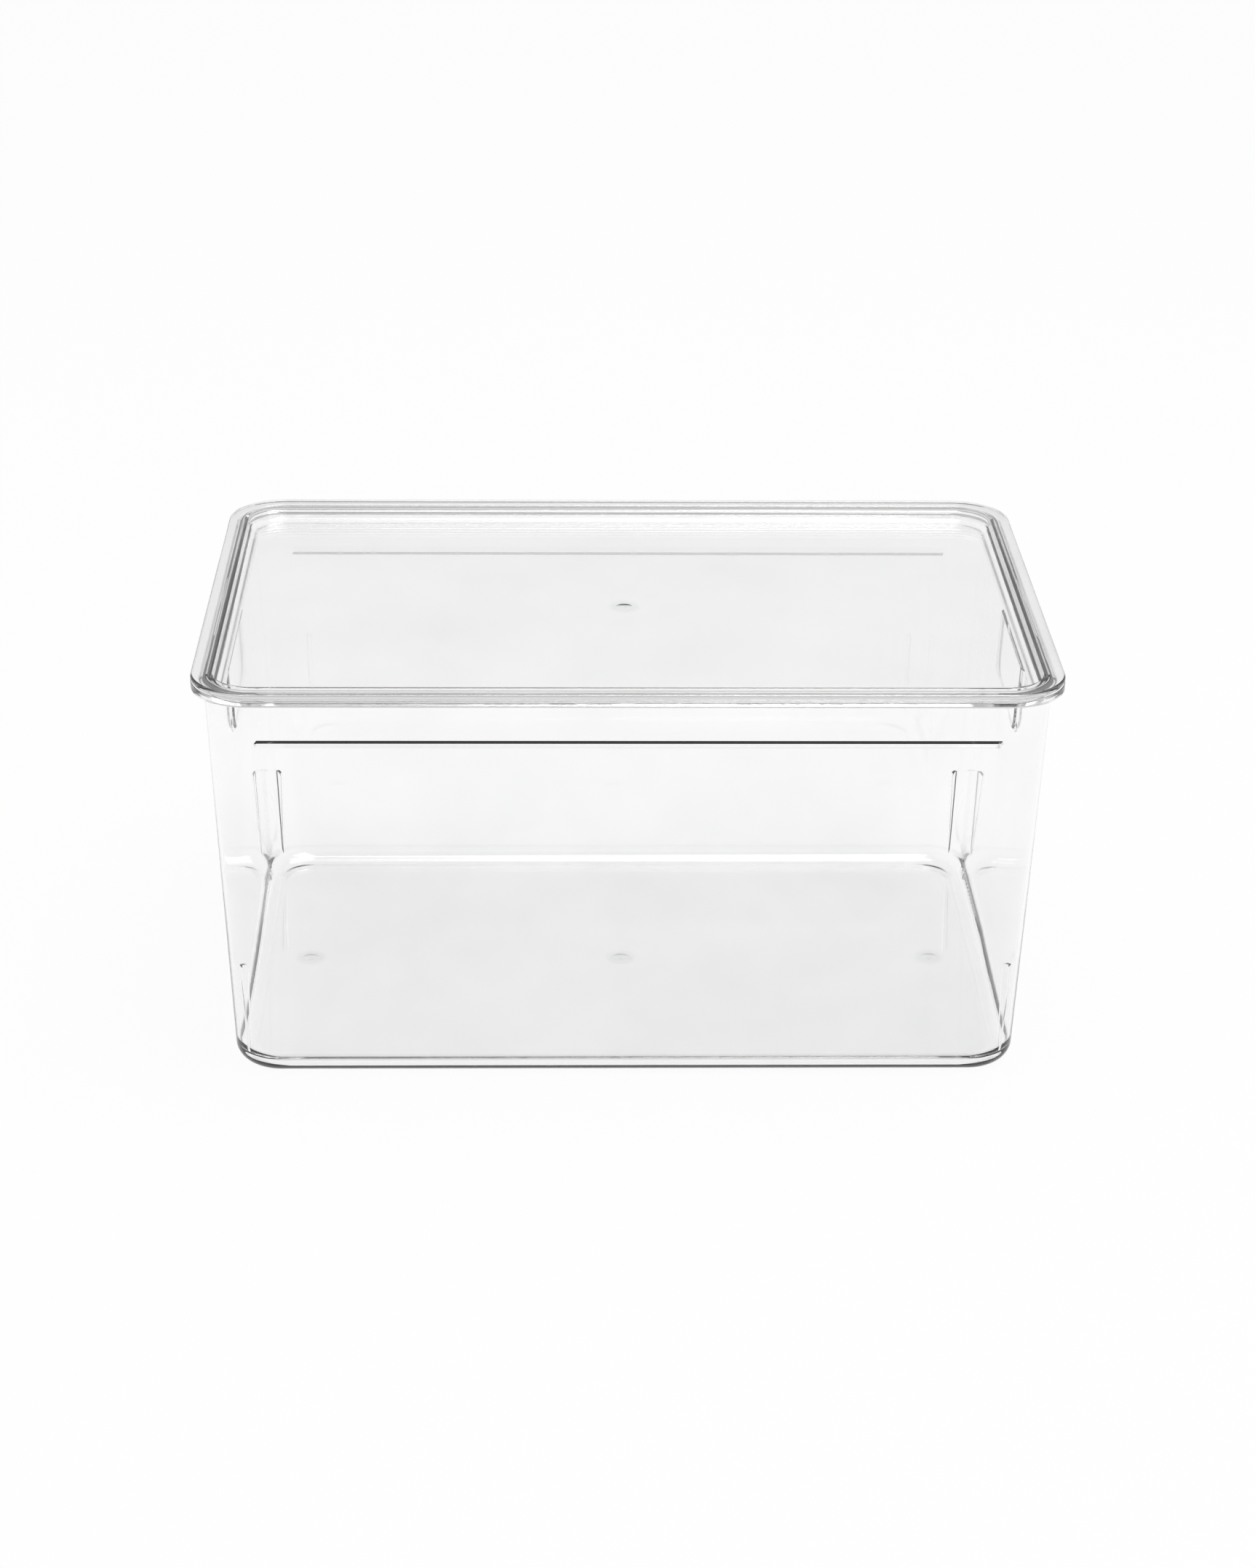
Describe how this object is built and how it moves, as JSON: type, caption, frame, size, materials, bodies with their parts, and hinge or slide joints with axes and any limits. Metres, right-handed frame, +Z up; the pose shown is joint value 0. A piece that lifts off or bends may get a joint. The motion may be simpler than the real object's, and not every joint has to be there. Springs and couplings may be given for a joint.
{
  "type": "stackable storage box",
  "caption": "Clear rectangular storage box: a drafted tub with a rim flange and finger grips, and a lift-off lid whose sunk panel takes the base of the next box.",
  "frame": {"origin": "middle of the base, on the surface that the box stands on", "axes": "+X along the long side, towards one finger grip; +Y across the box, away from the front wall; +Z up, the way the lid lifts"},
  "size_m": [0.3, 0.198, 0.1515],
  "materials": {
    "clear_tub_plastic": "clear, colourless, polished moulding",
    "clear_lid_plastic": "clear, colourless, polished moulding"
  },
  "bodies": {
    "tub": {"storage_tub": "clear_tub_plastic"},
    "lid": {"lid": "clear_lid_plastic"}
  },
  "joints": [
    {"name": "lid_lift", "type": "slide", "parent": "tub", "child": "lid", "axis": [0, 0, 1], "range_m": [0, 0.08]}
  ]
}
